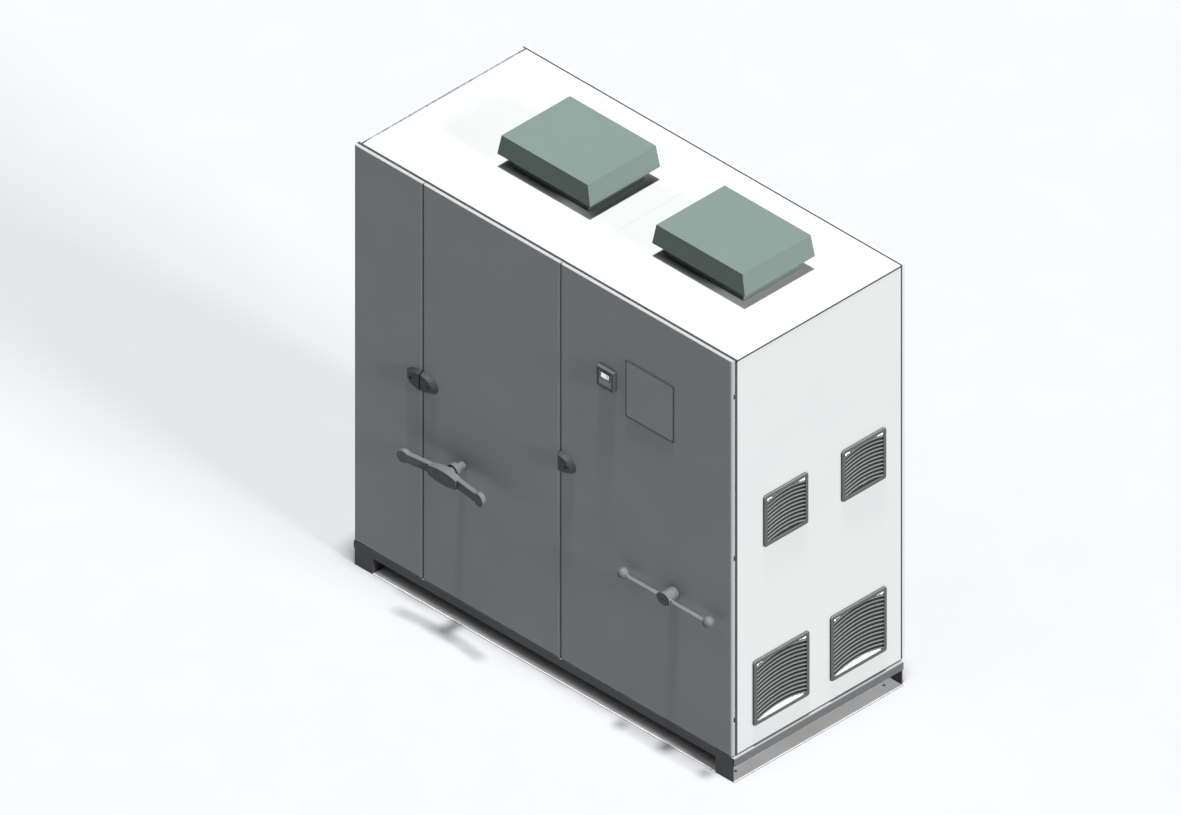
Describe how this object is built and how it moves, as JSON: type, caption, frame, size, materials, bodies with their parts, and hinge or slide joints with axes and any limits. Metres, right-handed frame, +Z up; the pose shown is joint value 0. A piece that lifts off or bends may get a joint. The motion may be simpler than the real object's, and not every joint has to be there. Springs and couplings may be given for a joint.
{
  "type": "marine switchboard",
  "caption": "Floor-standing switchboard in bayed sections with full-height doors, rotary switch handles, louvred filters, roof ventilators and a channel plinth.",
  "frame": {"origin": "centre of the floor bolt pattern, on the floor", "axes": "+X right along the doors, +Y back into the cabinet, +Z up"},
  "size_m": [2.212, 1.1426, 2.276],
  "materials": {
    "cabinet_paint": "satin",
    "plinth_paint": "satin",
    "hood_paint": "satin",
    "galvanised_steel": "satin",
    "bright_steel": "satin",
    "copper_bar": "satin",
    "dark_plastic": "matte",
    "light_plastic": "matte",
    "insulator_plastic": "matte",
    "louvre_plastic": "matte",
    "filter_mat": "matte",
    "seal_rubber": "matte",
    "lock_plastic": "matte",
    "handle_plastic": "satin",
    "key_rubber": "matte",
    "meter_plastic": "satin",
    "display_glass": "gloss"
  },
  "bodies": {
    "cabinet": {"plinth_side_rails": "plinth_paint", "plinth_cross_rails": "plinth_paint", "plinth_end_plates": "plinth_paint", "frame_posts": "galvanised_steel", "frame_width_rails": "galvanised_steel", "frame_depth_rails": "galvanised_steel", "sealing_lips": "galvanised_steel", "left_side_panel": "cabinet_paint", "right_side_panel": "cabinet_paint", "roof_panel": "cabinet_paint", "rear_panels": "cabinet_paint", "bay_sheets": "galvanised_steel", "mounting_plates": "galvanised_steel", "gland_plates": "galvanised_steel", "cable_glands": "dark_plastic", "busbars": "copper_bar", "busbar_insulators": "insulator_plastic", "busbar_droppers": "copper_bar", "switch_body_2": "dark_plastic", "switch_body_3": "dark_plastic", "terminal_rails": "bright_steel", "terminal_blocks": "light_plastic", "small_louvres": "louvre_plastic", "large_louvres": "louvre_plastic", "filter_mats": "filter_mat", "filter_grids": "louvre_plastic", "roof_collars": "hood_paint", "roof_hood_1": "hood_paint", "roof_hood_2": "hood_paint", "hood_studs": "bright_steel", "fan_housings": "dark_plastic", "hinge_brackets": "bright_steel", "hinge_pins": "bright_steel"},
    "door_1": {"door_1_shell": "cabinet_paint", "door_1_gasket": "seal_rubber", "door_1_escutcheon": "lock_plastic"},
    "door_2": {"door_2_shell": "cabinet_paint", "door_2_gasket": "seal_rubber", "door_2_escutcheon": "lock_plastic"},
    "door_3": {"door_3_shell": "cabinet_paint", "door_3_gasket": "seal_rubber", "door_3_escutcheon": "lock_plastic", "meter_case": "meter_plastic", "meter_window": "display_glass", "cover_plate": "cabinet_paint"},
    "lock_1": {"lock_1": "bright_steel"},
    "lock_2": {"lock_2": "bright_steel"},
    "lock_3": {"lock_3": "bright_steel"},
    "moulded_handle": {"moulded_handle": "handle_plastic"},
    "ball_handle": {"ball_handle_hub": "handle_plastic", "ball_handle_rod": "bright_steel", "ball_handle_balls": "handle_plastic"},
    "shaft_2": {"switch_shaft_2": "bright_steel"},
    "shaft_3": {"switch_shaft_3": "bright_steel"},
    "impeller_1": {"fan_impeller_1": "dark_plastic"},
    "impeller_2": {"fan_impeller_2": "dark_plastic"},
    "meter_key_1": {"meter_key_1": "key_rubber"},
    "meter_key_2": {"meter_key_2": "key_rubber"},
    "meter_key_3": {"meter_key_3": "key_rubber"},
    "meter_key_4": {"meter_key_4": "key_rubber"}
  },
  "joints": [
    {"name": "door_1_hinge", "type": "hinge", "parent": "cabinet", "child": "door_1", "pos_m": [-1.097, -0.484, 1.117], "axis": [0, 0, -1], "range_deg": [0, 115]},
    {"name": "door_2_hinge", "type": "hinge", "parent": "cabinet", "child": "door_2", "pos_m": [0.085, -0.484, 1.117], "axis": [0, 0, 1], "range_deg": [0, 95]},
    {"name": "door_3_hinge", "type": "hinge", "parent": "cabinet", "child": "door_3", "pos_m": [1.085, -0.484, 1.117], "axis": [0, 0, 1], "range_deg": [0, 115]},
    {"name": "lock_1_turn", "type": "hinge", "parent": "door_1", "child": "lock_1", "pos_m": [-0.757, -0.492, 1.121], "axis": [0, 1, 0], "range_deg": [0, 90]},
    {"name": "lock_2_turn", "type": "hinge", "parent": "door_2", "child": "lock_2", "pos_m": [-0.655, -0.492, 1.121], "axis": [0, -1, 0], "range_deg": [0, 90]},
    {"name": "lock_3_turn", "type": "hinge", "parent": "door_3", "child": "lock_3", "pos_m": [0.145, -0.492, 1.121], "axis": [0, -1, 0], "range_deg": [0, 90]},
    {"name": "moulded_handle_turn", "type": "hinge", "parent": "door_2", "child": "moulded_handle", "pos_m": [-0.47, -0.492, 0.813], "axis": [0, 1, 0], "range_deg": [0, 90]},
    {"name": "ball_handle_turn", "type": "hinge", "parent": "door_3", "child": "ball_handle", "pos_m": [0.759, -0.492, 0.787], "axis": [0, 1, 0], "range_deg": [0, 90]},
    {"name": "shaft_2_turn", "type": "hinge", "parent": "cabinet", "child": "shaft_2", "pos_m": [-0.47, -0.092, 0.813], "axis": [0, 1, 0], "range_deg": [0, 90]},
    {"name": "shaft_3_turn", "type": "hinge", "parent": "cabinet", "child": "shaft_3", "pos_m": [0.759, -0.092, 0.787], "axis": [0, 1, 0], "range_deg": [0, 90]},
    {"name": "impeller_1_spin", "type": "hinge", "parent": "cabinet", "child": "impeller_1", "pos_m": [-0.306, 0.016, 2.16], "axis": [0, 0, 1], "continuous": true},
    {"name": "impeller_2_spin", "type": "hinge", "parent": "cabinet", "child": "impeller_2", "pos_m": [0.594, 0.016, 2.16], "axis": [0, 0, 1], "continuous": true},
    {"name": "meter_key_1_press", "type": "slide", "parent": "door_3", "child": "meter_key_1", "axis": [0, 1, 0], "range_m": [0, 0.0008], "stiffness_N_per_m": 300},
    {"name": "meter_key_2_press", "type": "slide", "parent": "door_3", "child": "meter_key_2", "axis": [0, 1, 0], "range_m": [0, 0.0008], "stiffness_N_per_m": 300},
    {"name": "meter_key_3_press", "type": "slide", "parent": "door_3", "child": "meter_key_3", "axis": [0, 1, 0], "range_m": [0, 0.0008], "stiffness_N_per_m": 300},
    {"name": "meter_key_4_press", "type": "slide", "parent": "door_3", "child": "meter_key_4", "axis": [0, 1, 0], "range_m": [0, 0.0008], "stiffness_N_per_m": 300}
  ],
  "couplings": [
    {"joint": "shaft_2_turn", "follows": "moulded_handle_turn", "ratio": 1},
    {"joint": "shaft_3_turn", "follows": "ball_handle_turn", "ratio": 1}
  ]
}
